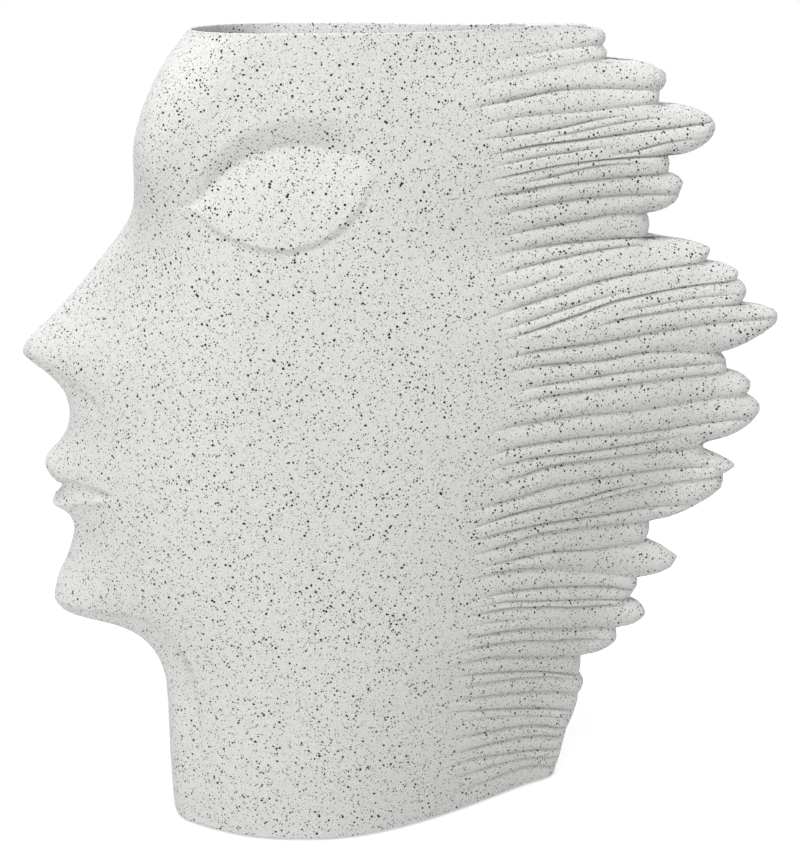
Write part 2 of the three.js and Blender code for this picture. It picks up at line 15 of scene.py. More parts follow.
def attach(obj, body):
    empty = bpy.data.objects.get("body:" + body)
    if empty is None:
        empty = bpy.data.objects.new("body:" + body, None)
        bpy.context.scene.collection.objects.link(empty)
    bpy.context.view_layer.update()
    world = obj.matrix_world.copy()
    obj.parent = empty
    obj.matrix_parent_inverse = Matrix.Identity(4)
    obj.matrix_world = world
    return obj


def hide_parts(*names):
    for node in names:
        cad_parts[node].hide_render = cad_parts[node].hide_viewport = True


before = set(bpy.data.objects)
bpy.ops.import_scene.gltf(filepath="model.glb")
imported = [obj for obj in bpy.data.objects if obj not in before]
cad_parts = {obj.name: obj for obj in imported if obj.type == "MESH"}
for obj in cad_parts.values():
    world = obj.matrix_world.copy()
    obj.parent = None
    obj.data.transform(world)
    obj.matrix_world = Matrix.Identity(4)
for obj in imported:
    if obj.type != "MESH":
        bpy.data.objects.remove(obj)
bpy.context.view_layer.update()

METRE = 0.001                # one millimetre of the lists below, in metres

RIM_HEIGHT = 690.0
STAND_HEIGHT = 2.0           # the shells' lower edge above the floor
HALF_WIDTH = 133.5
WIDEST_AT = -80.0            # X of the thickest place in plan
BOW_LENGTH = 310.0           # reach of the flat bow of the sides ahead of the thickest place
WALL = 10.0
RIM_ROUNDING = 1.2
RIM_FLARE = 7.0              # how far the inside opens out at the rim
FLARE_HEIGHT = 10.0
FOOT_ROUNDING = 1.5
SEAM = 0.02                  # half of the hairline between the two mouldings
GROOVE_DEPTH = 5.5           # between two locks of hair
GROOVE_ROOT = 2.0            # length at a groove's root that stays level
GROOVE_RUN_IN = 45.0         # length over which a groove then deepens
GROOVE_FADE = 0.35           # share of the depth that is lost towards the free ends
GROOVE_FADE_PLACES = (150, 300)
GROOVE_COME_UP = 20.0        # half the length over which a groove comes up on its way
GROOVE_DIE_AWAY = 25.0       # half the length over which a groove dies away on its way
GROOVE_WALL = 0.22           # height share of the steep wall at the top of a lock
GROOVE_WALL_RISE = 0.65      # share of the depth that this wall takes up
CREST = 0.74                 # height share at which a lock stands proudest
FALL_POWER = 1.7             # how sharply the lower edge of a lock turns in
BLADE_HALF = 11.0            # half thickness of the free ends of the locks
BLADE_BLEND = 20.0           # how softly the sides thin out to that
END_ROUNDING = 20.0          # how far the rounding of the free ends reaches
TIP_POWER = 8                # how late a straight tip of hair rounds over
SOCKET_DEPTH = 8.5           # hollow under the brow
SOCKET_POWER = 1.3           # how late that hollow falls away from the brow
EYE_POWER = 1.6              # how early the eye swells out of it
EYE_RELIEF = 2.2             # how far the eye's lower edge stands proud
EYE_STEP = 2.6               # height of the step under the eye
LID_DEPTH = 1.0              # how far the cheek is set in under that step
LID_REACH = 6.0              # height over which the cheek comes out again
MOUTH_DEPTH = 6.5
MOUTH_ABOVE = 2.6            # reach of the upper lip's underside above the mouth's line
LIP_RELIEF = 2.8             # how far the lower lip's edge stands proud
LIP_UNDER = 8.0              # reach of the lower lip's underside
CAVITY_ROLL = 50.0           # reach of the roll at the inside's blunt front
SEAT_TOP = 17.3              # top of the seat that takes the base plate
SHOULDER_WIDTH = 6.0         # ledge above that seat
SHOULDER_TOP = 27.3
SHOULDER_END = 43.3

# Face outline in the joint plane, (z, x), foot to rim.
PROFILE = [
    (0, -211.5), (50, -213.5), (95, -214), (120, -215.5), (138, -221), (151, -234), (159, -256), (163, -281),
    (167, -300.5), (173, -312), (183, -318), (198, -315), (221, -304.5), (239, -298.5), (249, -296.5),
    (257, -298), (264, -303), (268, -310), (273, -314.5), (277, -314), (283, -309), (288, -306.5),
    (292, -310), (300, -317), (309, -320), (315, -318.5), (329, -306), (344, -297.5), (358, -295),
    (373, -298), (388.5, -310.5), (403, -329.5), (409.5, -335), (416, -333.5), (424, -328), (438, -313),
    (467, -284.5), (495, -261), (523, -239), (532, -234), (543, -230), (556, -228), (572, -226.5),
    (589, -225.7), (602, -224), (615, -220.5), (628, -216), (641, -210), (654, -203.5), (667, -195.5),
    (679, -186.3), (690, -178),
]
# How the side turns in to the face outline, by the level on the outline: (z, reach of the rolled edge,
# share of the half width that the rolled edge brings, reach of the flare behind it that brings the rest).
ROLL = [
    (0, 23, 0.69, 108), (105, 23, 0.69, 108), (134, 25, 0.68, 110), (152, 26, 0.52, 130),
    (166, 20, 0.38, 145), (178, 17, 0.3, 150), (192, 15, 0.25, 150), (272, 14, 0.22, 150),
    (307, 14, 0.22, 150), (354, 15, 0.26, 155), (385, 14, 0.24, 170), (405, 12, 0.15, 185),
    (440, 12, 0.12, 190), (480, 15, 0.15, 170), (520, 24, 0.3, 140), (545, 34, 0.5, 120),
    (568, 42, 0.8, 120), (590, 46, 1, 120), (640, 50, 1, 120), (690, 76, 1, 130),
]
# Creases along the undersides of chin and nose and down the throat, by the level on the outline:
# (z, distance behind the outline, share of the half width by which the surface steps in there).
CREASE = [
    (20, 45, 0), (63, 45, 0.02), (98, 45, 0.04), (114, 45, 0.054), (126, 47, 0.062), (136, 49, 0.068),
    (144, 49, 0.074), (153, 47, 0.082), (162, 43, 0.096), (168, 27, 0.11), (172, 20, 0.11), (177, 16, 0.075),
    (184, 12, 0), (360, 48, 0), (370, 44, 0.05), (375, 39, 0.085), (380, 32, 0.115), (384, 24, 0.13),
    (389, 16.5, 0.14), (397, 12, 0.14), (404, 10, 0.1), (412, 8, 0),
]
CREASE_WIDTH = 0.18          # share of that distance over which the surface steps in
# Where the head's body has thinned out into the free ends of the hair, (z, x).
HAIR_LINE = [
    (0, 142), (60, 158), (120, 175), (180, 205), (250, 228), (320, 268), (380, 290), (440, 290), (480, 268),
    (520, 232), (580, 230), (630, 205), (665, 160), (690, 128),
]
# Front and rear limits of the inside, (z, x), before the wall is taken off.
CAVITY_FRONT = [
    (0, -211.5), (100, -214), (134, -213), (160, -214), (200, -224), (300, -230), (450, -228), (520, -226),
    (560, -226.5), (600, -224), (640, -210.5), (667, -195.5), (690, -178),
]
CAVITY_REAR = [
    (0, 118), (60, 134), (105, 140), (140, 164), (180, 180), (250, 196), (320, 240), (380, 256), (430, 258),
    (480, 222), (515, 186), (550, 186), (600, 190), (640, 172), (667, 138), (690, 108),
]
# Share of the half width at each level, and the power of the taper behind the thickest place.
FULLNESS = [(0, 1), (120, 1), (350, 1.004), (560, 0.968), (690, 0.934)]
REAR_TAPER = [(0, 1.22), (120, 1.32), (300, 1.31), (690, 1.6)]
TAPER_EASE = 0.25            # how softly that taper begins

# Brow, the two edges of the eye, the mouth and the lower lip's edge on the side of the head, (x, z).
BROW_LINE = [(-215, 536), (-187, 556), (-151, 594), (-120, 616), (-75, 627), (-30, 624), (35, 606)]
UPPER_LID = [
    (-172, 553.5), (-164, 557.5), (-146, 576.5), (-124, 592), (-99, 601), (-75, 603.5), (-50, 599.2),
    (-33, 593.7), (-16, 588), (35, 570),
]
LOWER_LID = [
    (-172, 553), (-162, 549.5), (-153, 541), (-132, 529.8), (-110, 523.8), (-88, 522.3), (-65, 528.2),
    (-47, 539), (-34, 552), (-18, 577), (35, 520),
]
MOUTH_LINE = [(-330, 287), (-308, 290), (-297, 297.5), (-283, 298.6), (-260, 298), (-246, 297.6)]
LIP_LINE = [(-320, 272), (-311, 274), (-297, 277.7), (-282, 283.4), (-260, 291.8), (-246, 296)]
# Places along the length between which the hollow, the eye and the mouth come up or die away.
SOCKET_START = (-186, -135)
SOCKET_END = (-64, -12)
EYE_START = (-173, -147)
EYE_END = (-34, -16)
MOUTH_END = (-259, -244)

# Upper and lower limits of the hair, (x, z) from the roots backwards.
RIM_LINE = [(25, 690), (55, 690.6), (105, 692.6), (138, 693.6), (158, 692.8)]
FOOT_LINE = [(25, 2), (100, 2), (146, 2)]
# Grooves between the locks from the rim down: path, share of the depth, and where the groove
# comes up or dies away along its path.
GROOVES = [
    ([(63, 664.5), (104, 669.5), (170, 676.5)], 0.5, None, None),
    ([(51, 645.5), (88, 652.5), (130, 658.5), (175, 665.5)], 0.5, None, None),
    ([(47, 628.5), (96, 636.5), (138, 641.5), (222, 638.5)], 1.0, None, None),
    ([(59, 615.5), (104, 622.5), (156, 623.5), (221.4, 628)], 0.5, None, None),
    ([(59, 604.5), (130, 611.5), (165, 617), (250, 622)], 0.8, None, 170),
    ([(62, 596.5), (138, 606.5), (202, 614.5), (262, 618)], 0.5, 130, 215),
    ([(62, 591.5), (113, 599.5), (165, 602), (220, 606), (269, 612)], 1.0, None, None),
    ([(65, 581.5), (113, 589.5), (147, 592.5), (202, 596.5), (270, 604)], 0.6, None, 165),
    ([(65, 576.5), (130, 584.5), (190, 588), (240, 597), (267, 598)], 0.8, 190, 245),
    ([(64, 571.5), (96, 577.5), (130, 582.5), (165, 584), (229.5, 583)], 1.0, None, None),
    ([(64, 563.5), (122, 572.5), (174, 579.5), (232, 577)], 0.7, 110, 185),
    ([(62, 557.5), (97, 562.5), (131, 566.5), (231.3, 568.7)], 1.0, None, None),
    ([(68, 540.5), (97, 547.5), (131, 551.5), (166, 553), (242, 550.5)], 1.0, None, None),
    ([(73, 524.5), (114, 531.5), (149, 534.5), (176, 537.5), (213, 534)], 1.0, None, None),
    ([(67, 508.5), (98, 514.5), (132, 516.5), (168, 516), (213, 511.5)], 1.0, None, None),
    ([(65, 492.5), (98, 499.5), (132, 504.5), (186, 509), (263, 506)], 0.8, None, 200),
    ([(65, 480.5), (98, 483.5), (132, 490.5), (204, 496.5), (269, 499)], 0.5, None, 140),
    ([(65, 459.5), (98, 468.5), (132, 476.5), (167, 484), (267, 491.5)], 0.9, None, None),
    ([(74, 447.5), (107, 456.5), (132, 462.5), (185, 472), (296, 481)], 0.7, None, 175),
    ([(78, 440.5), (115, 449.5), (150, 458.5), (185, 467), (295, 475.5)], 1.0, None, None),
    ([(82, 435.5), (132, 445.5), (213, 459), (304, 464)], 0.6, 200, 290),
    ([(82, 431.5), (141, 441.5), (194, 452), (300, 454.5)], 0.8, 175, None),
    ([(81, 425.5), (116, 431.5), (168, 433), (222, 436.5), (335, 441.5)], 1.0, None, None),
    ([(82, 413.5), (116, 418.5), (168, 417), (204, 419.5), (282, 410)], 1.0, None, None),
    ([(85, 394.5), (116, 400.5), (205, 404.5), (289, 402)], 0.8, None, None),
    ([(90, 384.5), (117, 390.5), (224, 393.5), (291, 393)], 1.0, None, None),
    ([(66, 362.5), (100, 368.5), (152, 370.5), (207, 368.5), (308.6, 371.5)], 1.0, None, None),
    ([(65, 340.5), (100, 348.5), (153, 350.5), (227, 346.5), (320, 351)], 1.0, None, None),
    ([(67, 322.5), (84, 332.5), (118, 337.5), (172, 336.5), (307, 340)], 0.9, None, 240),
    ([(67, 316), (101, 321.5), (136, 328.5), (172, 327.5), (273, 324)], 1.0, None, None),
    ([(50, 294.5), (102, 302), (137, 308), (173, 308.5), (302.3, 304.8)], 1.0, None, 275),
    ([(49, 276), (102, 287.5), (156, 291.5), (193, 295.5), (293, 300)], 1.0, None, 200),
    ([(49, 271), (102, 280.5), (138, 282.5), (175, 288), (291.8, 297)], 0.9, 160, None),
    ([(47, 266), (85, 271), (121, 273), (176, 270.5), (262, 269.5)], 1.0, None, None),
    ([(51, 252.5), (86, 257.5), (121, 264), (158, 261.5), (227, 253)], 1.0, None, None),
    ([(60, 237.5), (86, 242.5), (122, 243.5), (178, 236), (224, 234.5)], 1.0, None, None),
    ([(49, 231.5), (86, 233.5), (122, 229.5), (160, 217.5), (218, 198)], 1.0, None, None),
    ([(56, 210.5), (87, 212.5), (123, 209.5), (181, 197), (214.5, 187)], 1.0, None, None),
    ([(56, 204.5), (87, 204.5), (123, 197.5), (181, 184), (209.8, 178)], 0.7, None, None),
    ([(47, 197.5), (87, 197.5), (124, 191.5), (162, 180.5), (219, 172)], 1.0, None, 195),
    ([(41, 186.5), (69, 187.5), (96, 185.5), (143, 176.5), (227, 164)], 0.5, None, 110),
    ([(43, 173.5), (70, 175.5), (106, 172.5), (144, 161.5), (199, 148.8)], 1.0, None, None),
    ([(35, 161.5), (70, 164.5), (106, 160.5), (145, 149.5), (201, 137.5)], 0.9, None, 185),
    ([(35, 151.5), (70, 151.5), (107, 142.5), (168.8, 121.7)], 1.0, None, None),
    ([(33, 141.5), (70, 136.5), (108, 127.5), (167, 103)], 0.9, None, None),
    ([(39, 126.5), (71, 125.5), (103, 121.5), (132, 114.5), (170, 99)], 0.8, None, 150),
    ([(33, 118.5), (71, 112.5), (108, 104.5), (167.8, 84)], 0.9, None, None),
    ([(35, 108.5), (90, 93.5), (164, 67)], 0.9, None, None),
    ([(35, 97.5), (90, 86.5), (162, 59.5)], 0.4, None, None),
    ([(33, 78.5), (72, 74.5), (109, 68.5), (157.8, 49)], 0.9, None, None),
    ([(31, 62.5), (72, 60.5), (110, 55.5), (156, 41)], 1.0, None, None),
    ([(27, 47.5), (63, 50.5), (91, 44.5), (153, 28)], 0.8, None, None),
    ([(28, 31.5), (54, 35.5), (91, 34.5), (151.5, 20)], 0.7, None, None),
    ([(40, 16.5), (73, 20.5), (111, 21.5), (148, 10)], 0.8, None, None),
]
# Free edge of the hair from the rim down, (z, x, kind, fullness of the run to the next point).
NOTCH = 0
TIP = 1
FREE_EDGE = [
    (692.8, 158, NOTCH, 0.85), (683.2, 174.4, TIP, 0.7), (675.2, 170.3, NOTCH, 0.8), (670, 175.6, TIP, 0.6),
    (665.6, 174.8, NOTCH, 0.88), (650, 227.4, TIP, 0.8), (638.2, 221.5, NOTCH, 0), (628, 221.3, NOTCH, 0.95),
    (607.5, 270.4, TIP, 1), (583, 230, NOTCH, 0.8), (575, 232.3, TIP, 0.6), (568.5, 231.4, NOTCH, 0.7),
    (560, 245, TIP, 0), (548.5, 241.5, TIP, 0.85), (534, 213, NOTCH, 0.8), (523.4, 217, TIP, 0.6),
    (513.5, 213.8, NOTCH, 0.75), (502, 271, TIP, 0.3), (491.8, 267, NOTCH, 0.75), (481, 296.6, TIP, 0.6),
    (475.5, 295, NOTCH, 0.8), (464.5, 304.6, TIP, 0.6), (454.5, 299.6, NOTCH, 0.85), (444.5, 333, TIP, 0),
    (439, 333.4, TIP, 0.45), (410, 282, NOTCH, 0.8), (400.5, 290, TIP, 0), (393.7, 291.2, NOTCH, 0.7),
    (381, 313.5, TIP, 0.6), (371, 308.3, NOTCH, 0.7), (359.5, 322.7, TIP, 0.82), (328, 272.8, NOTCH, 0),
    (318.5, 274, NOTCH, 0.45), (305, 302.3, TIP, 0.3), (297, 291.7, NOTCH, 0.7), (289, 293.2, TIP, 0.55),
    (253.2, 227, NOTCH, 0.7), (246, 227.8, TIP, 0.6), (235, 224, NOTCH, 0.25), (215.5, 255.7, TIP, 0.7),
    (198, 218.2, NOTCH, 0.8), (192.5, 218.7, TIP, 0.3), (177.4, 209.7, NOTCH, 0.75), (163, 227, TIP, 0.85),
    (148.7, 199.5, NOTCH, 0.8), (138.5, 201.3, TIP, 0.75), (121.7, 168.6, NOTCH, 0.8), (113, 168.4, TIP, 0.6),
    (102.4, 167, NOTCH, 0.5), (94.5, 171.7, TIP, 0.4), (83.5, 167.3, NOTCH, 0.8), (75, 166.7, TIP, 0.5),
    (60, 162.3, TIP, 0), (46, 156.8, TIP, 0), (20.8, 151.7, TIP, 0), (2, 146, TIP, 0),
]

# Fineness of the surface.
ROW_SHARES = [0, 0.07, 0.19, 0.46, 0.73, 0.86, 0.95]    # heights of the rows in each band of hair
FACE_COLUMNS = 132
FACE_CROWDING = 1.6          # power by which the columns lie closer together at the face outline
HAIR_COLUMNS = 102
HAIR_CROWDING = 1.6          # power by which they do so at the free ends of the hair
ROW_CROWDING = [(565, 62, 1.5), (288, 26, 1.4)]    # eye and mouth: level, half height, share of rows added
LEVEL_SAMPLES = 4000         # levels from which those of the rows are picked
OUTLINE_STEP = 1.5           # length of the pieces that the face outline is measured in
OUTLINE_SAMPLES = 6000       # levels from which the ends of those pieces are picked
OUTLINE_RUN_ON = 240.0       # how far the outline is run on below the foot and above the rim
EDGE_SAMPLES = 5000          # points on the hair's free edge that the rounding is measured from
PROBE = 0.2                  # half the length over which the slope of the inside is measured
TINY = 1e-6                  # keeps divisions away from zero
RIM_STEPS = [90, 65, 40, 18, 0]    # angles of the rows round the rim's edges
FOOT_STEPS = [0, 45, 90]     # angles of the rows round the foot's edge
ROWS_IN_ROUNDING = 2         # outer rows at the top that the rim's rounding takes the place of
SHARP_ANGLE = 60             # edges that turn more than this are shaded as edges
INNER_LEVELS = [
    60, 95, 118, 140, 158, 185, 215, 250, 285, 320, 350, 380,
    415, 450, 490, 525, 550, 578, 605, 632, 650, 667,
]


def curve(knots, entry=1):
    """Smooth function through (place, value) knots that makes no bumps of its own."""
    at = np.array([knot[0] for knot in knots], float)
    value = np.array([knot[entry] for knot in knots], float)
    slope = np.diff(value) / np.diff(at)
    product = slope[:-1] * slope[1:]
    rising = product > 0
    total = np.where(rising, slope[:-1] + slope[1:], 1)
    inner = np.where(rising, 2 * product / total, 0)
    tangent = np.concatenate([slope[:1], inner, slope[-1:]])

    def evaluate(q):
        place = np.clip(q, at[0], at[-1])
        i = np.clip(np.searchsorted(at, place) - 1, 0, len(slope) - 1)
        step = at[i + 1] - at[i]
        u = (place - at[i]) / step
        w = 1 - u
        run = tangent[i] * u * w * w - tangent[i + 1] * u * u * w
        return value[i] * (1 + 2 * u) * w * w + value[i + 1] * u * u * (3 - 2 * u) + step * run

    return evaluate


def smooth(t):
    c = np.clip(t, 0, 1)
    return c * c * (3 - 2 * c)


def mix(a, b, t):
    return a + (b - a) * t


def ramp(x, places):
    """Rises smoothly from 0 to 1 between two places."""
    return smooth((x - places[0]) / (places[1] - places[0]))


profile_at = curve(PROFILE)
hair_line_at = curve(HAIR_LINE)
cavity_front_at = curve(CAVITY_FRONT)
cavity_rear_at = curve(CAVITY_REAR)
fullness_at = curve(FULLNESS)
rear_taper_at = curve(REAR_TAPER)
brow_at = curve(BROW_LINE)
upper_lid_at = curve(UPPER_LID)
lower_lid_at = curve(LOWER_LID)
mouth_at = curve(MOUTH_LINE)
lip_at = curve(LIP_LINE)
crease_at = curve(CREASE, 1)
crease_loss_at = curve(CREASE, 2)
rim_rise_at = curve(RIM_LINE)


def bladed(body):
    """Half thickness that thins out to that of the free ends of the locks and no further."""
    return 0.5 * (body + BLADE_HALF + np.hypot(body - BLADE_HALF, BLADE_BLEND))


def side_width(x, z):
    """Half thickness of the sides alone: a flat bow ahead of the thickest place, a taper behind it."""
    widest = HALF_WIDTH * fullness_at(z)
    bow = np.clip((WIDEST_AT - x) / BOW_LENGTH, 0, 1)
    ahead = widest * np.sqrt(1 - bow * bow)
    body_length = hair_line_at(z) - WIDEST_AT
    back = np.maximum((x - WIDEST_AT) / body_length, 0)
    bow_drop = 0.5 * (body_length / BOW_LENGTH) ** 2
    eased = (np.hypot(back, TAPER_EASE) - TAPER_EASE) / (math.hypot(1, TAPER_EASE) - TAPER_EASE)
    body = widest * (1 - bow_drop * back * back - (1 - bow_drop) * eased ** rear_taper_at(z))
    behind = bladed(body) - (bladed(widest) - widest) * body / widest
    return np.where(x < WIDEST_AT, ahead, behind)


def rolled(t):
    """Rises steeply from 0, as round an edge, and is level from 1 on."""
    return np.sqrt(1 - (1 - np.clip(t, 0, 1)) ** 3)


def outline_pieces():
    """The face outline as short straight pieces, run on below the foot and above the rim."""
    fine = np.linspace(0, RIM_HEIGHT, OUTLINE_SAMPLES)
    length = np.concatenate([[0], np.cumsum(np.hypot(np.diff(fine), np.diff(profile_at(fine))))])
    level = np.interp(np.arange(0, length[-1], OUTLINE_STEP), length, fine)
    level = np.append(level, RIM_HEIGHT)
    x = profile_at(level)
    lean = (x[-1] - x[-2]) / (level[-1] - level[-2])
    level = np.concatenate([[-OUTLINE_RUN_ON], level, [RIM_HEIGHT + OUTLINE_RUN_ON]])
    x = np.concatenate([[x[0]], x, [x[-1] + lean * OUTLINE_RUN_ON]])
    middle = (level[1:] + level[:-1]) / 2
    turns = [curve(ROLL, entry)(middle) for entry in (1, 2, 3)]
    return x, level, np.stack(turns + [middle], axis=1)


OUTLINE = outline_pieces()


def behind_outline(x, z):
    """Soft distance behind the face outline, the values of ROLL that hold there and the outline's level.

    Every piece of the outline counts by the inverse cube of its distance, so that near the outline
    this is the distance to it, and further in nose, lips and throat melt into one even surface.
    """
    edge_x, edge_z, roll = OUTLINE
    step_x, step_z = np.diff(edge_x), np.diff(edge_z)
    length = np.hypot(step_x, step_z)
    step_x, step_z = step_x / length, step_z / length
    to_x = x.reshape(-1, 1) - edge_x[:-1]
    to_z = z.reshape(-1, 1) - edge_z[:-1]
    start = -(to_x * step_x + to_z * step_z)
    off = np.maximum((to_x * step_z - to_z * step_x) ** 2, TINY)
    end = start + length
    count = (end / np.sqrt(off + end ** 2) - start / np.sqrt(off + start ** 2)) / off
    total = count.sum(axis=1)
    behind = np.where(x > profile_at(z), np.sqrt(2 / total), 0)
    return behind, *(count @ roll / total[:, None]).T


def head_width(x, z):
    """Half thickness of the head at one place of its side view."""
    x, z = np.broadcast_arrays(np.asarray(x, float), np.asarray(z, float))
    share = np.zeros(x.shape)
    for j in np.ndindex(x.shape[:-1]):
        behind, reach, edge, flare_reach, level = behind_outline(x[j], z[j])
        flare = 1 - (1 - np.clip(behind / flare_reach, 0, 1)) ** 2
        stepped = smooth((1 - behind / crease_at(level)) / CREASE_WIDTH)
        share[j] = mix(flare, rolled(behind / reach), edge) * (1 - crease_loss_at(level) * stepped)
    return share * side_width(x, z)


def eye_relief(x, z):
    """Hollow under the brow and the eye that swells out of it to a step above the cheek."""
    brow = brow_at(x)
    upper = upper_lid_at(x)
    lower = lower_lid_at(x)
    hollow = SOCKET_DEPTH * ramp(x, SOCKET_START) * (1 - ramp(x, SOCKET_END))
    shown = ramp(x, EYE_START) * (1 - ramp(x, EYE_END))
    proud = EYE_RELIEF * shown
    dip = LID_DEPTH * shown
    above = -hollow * np.clip((brow - z) / np.maximum(brow - upper, 1), 0, 1) ** SOCKET_POWER
    down = np.clip((upper - z) / np.maximum(upper - lower, 1), 0, 1)
    on_eye = (hollow + proud) * (1 - (1 - down) ** EYE_POWER) - hollow
    step = np.clip((lower - z) / EYE_STEP, 0, 1)
    out_again = smooth((lower - EYE_STEP - z) / LID_REACH)
    below = proud - (proud + dip) * step + dip * out_again
    return np.where(z >= upper, above, np.where(z >= lower, on_eye, below))


def mouth_relief(x, z):
    """The line of the mouth, sunk between the upper lip's underside and the lower lip's edge."""
    line = mouth_at(x)
    edge = lip_at(x)
    shown = 1 - ramp(x, MOUTH_END)
    above = -MOUTH_DEPTH * np.exp(-(((z - line) / MOUTH_ABOVE) ** 2))
    on_lip = mix(-MOUTH_DEPTH, LIP_RELIEF, np.clip((line - z) / (line - edge), 0, 1))
    below = LIP_RELIEF * (1 - smooth((edge - z) / LIP_UNDER))
    return shown * np.where(z >= line, above, np.where(z >= edge, on_lip, below))


def face_relief(x, z):
    return eye_relief(x, z) + mouth_relief(x, z)


def free_edge_at(z):
    """X of the hair's free edge: rounded tips between narrow notches."""
    z = np.asarray(z, float)
    x = np.full(z.shape, float(FREE_EDGE[-1][1]))
    x[z > FREE_EDGE[0][0]] = FREE_EDGE[0][1]
    for (top, top_x, kind, full), (low, low_x, low_kind, _) in zip(FREE_EDGE, FREE_EDGE[1:]):
        inside = (z <= top) & (z >= low)
        w = (top - z[inside]) / (top - low)
        if kind == low_kind:
            x[inside] = mix(top_x, low_x, w)
            continue
        if low_kind == NOTCH:
            w = 1 - w
        notch_x, tip_x = (top_x, low_x) if low_kind == TIP else (low_x, top_x)
        straight = (TIP_POWER * w - w ** TIP_POWER) / (TIP_POWER - 1)
        x[inside] = mix(notch_x, tip_x, mix(straight, np.sqrt(1 - (1 - w) ** 2), full))
    return x


def end_rounding(x, z):
    """0 on the hair's free edge and 1 further in than the rounding reaches."""
    edge_z = np.linspace(FREE_EDGE[-1][0], FREE_EDGE[0][0], EDGE_SAMPLES)
    edge_x = free_edge_at(edge_z)
    tree = kdtree.KDTree(EDGE_SAMPLES)
    for i in range(EDGE_SAMPLES):
        tree.insert((edge_x[i], 0, edge_z[i]), i)
    tree.balance()
    found = [tree.find((px, 0, pz)) for px, pz in zip(x.ravel(), z.ravel())]
    far = np.array([distance for _, _, distance in found])
    return rolled(far.reshape(x.shape) / END_ROUNDING)


def groove_lines():
    """Each line between two bands of hair: its root, its end, its level and its depth along the way."""
    along = 1 - (1 - np.linspace(0, 1, HAIR_COLUMNS + 1)) ** HAIR_CROWDING
    lines = []
    for path, share, start, stop in [(RIM_LINE, 0, None, None), *GROOVES, (FOOT_LINE, 0, None, None)]:
        root, end = path[0], path[-1]
        x = mix(root[0], end[0], along)
        depth = GROOVE_DEPTH * share * smooth((x - root[0] - GROOVE_ROOT) / GROOVE_RUN_IN)
        depth = depth * (1 - GROOVE_FADE * ramp(x, GROOVE_FADE_PLACES))
        if start is not None:
            depth = depth * ramp(x, (start - GROOVE_COME_UP, start + GROOVE_COME_UP))
        if stop is not None:
            depth = depth * (1 - ramp(x, (stop - GROOVE_DIE_AWAY, stop + GROOVE_DIE_AWAY)))
        lines.append({"root": root, "end": end, "level": curve(path)(x), "depth": depth})
    return along, lines


def hair_rows():
    """X, Z and groove depth of every outer row from the roots of the hair to its free edge, rim to foot."""
    along, lines = groove_lines()
    xs, zs, depths = [], [], []
    for upper, lower in zip(lines, lines[1:]):
        for share in ROW_SHARES:
            root_x = mix(upper["root"][0], lower["root"][0], share)
            end_z = mix(upper["end"][1], lower["end"][1], share)
            end_x = float(free_edge_at(np.array([end_z]))[0])
            wall = np.clip(1 - share / GROOVE_WALL, 0, 1) ** 2
            rise = mix(np.clip(1 - share / CREST, 0, 1), wall, GROOVE_WALL_RISE)
            fall = np.clip((share - CREST) / (1 - CREST), 0, 1) ** FALL_POWER
            xs.append(mix(root_x, end_x, along))
            zs.append(mix(upper["level"], lower["level"], share))
            depths.append(upper["depth"] * rise + lower["depth"] * fall)
    foot = lines[-1]
    xs.append(mix(foot["root"][0], foot["end"][0], along))
    zs.append(foot["level"])
    depths.append(foot["depth"])
    return np.array(xs), np.array(zs), np.array(depths)


def face_levels(count):
    """Levels at which the rows meet the face outline, closer together at the eye and the mouth."""
    levels = np.linspace(STAND_HEIGHT, RIM_HEIGHT, LEVEL_SAMPLES)
    step = np.hypot(np.gradient(levels), np.gradient(profile_at(levels)))
    density = np.ones(LEVEL_SAMPLES)
    for middle, half_height, added in ROW_CROWDING:
        density = density + added * np.exp(-(((levels - middle) / half_height) ** 4))
    reached = np.cumsum(step * density)
    reached = (reached - reached[0]) / (reached[-1] - reached[0])
    return np.interp(np.linspace(1, 0, count), reached, levels)


def outer_rows():
    """Side view and half width of the outer surface, rows from rim to foot, columns from face to hair."""
    hair_x, hair_z, depth = hair_rows()
    count = len(hair_x)
    root_x = hair_x[:, :1]
    root_z = hair_z[:, :1]
    level = face_levels(count)[:, None]
    front = profile_at(level)
    back = np.linspace(0, 1, FACE_COLUMNS + 1)[:-1][None, :] ** FACE_CROWDING
    face_x = mix(front, root_x, back)
    face_z = mix(level, root_z, smooth(back))
    face_w = head_width(face_x, face_z) + face_relief(face_x, face_z)
    hair_w = head_width(hair_x, hair_z) + face_relief(hair_x, hair_z) - depth
    hair_w = hair_w * end_rounding(hair_x, hair_z)
    x = np.concatenate([face_x, hair_x], axis=1)
    z = np.concatenate([face_z, hair_z], axis=1)
    width = np.concatenate([face_w, hair_w], axis=1)
    width[:, 0] = 0
    width[:, -1] = 0
    return x, z, np.maximum(width, SEAM)


def plan_normals(x, width):
    """Outward direction in plan along one row, as shares of X and of the width."""
    run = np.gradient(x)
    out = np.gradient(width)
    length = np.hypot(run, out)
    along, across = -out / length, run / length
    along[0], across[0] = -1, 0
    along[-1], across[-1] = 1, 0
    return along, across


def set_in(x, width, inset):
    """A row moved inwards in plan by a distance."""
    along, across = plan_normals(x, width)
    return x - along * inset, np.maximum(width - across * inset, SEAM)


def core_width(x, z):
    """Half thickness that the inside is measured from: a blunt head, set in behind the eye's hollow."""
    behind = np.maximum(x - cavity_front_at(z), 0)
    blunt = rolled(behind / CAVITY_ROLL) * side_width(x, z)
    hollow = np.where(z >= lower_lid_at(x), np.minimum(eye_relief(x, z), 0), 0)
    return np.minimum(blunt, head_width(x, z)) + hollow


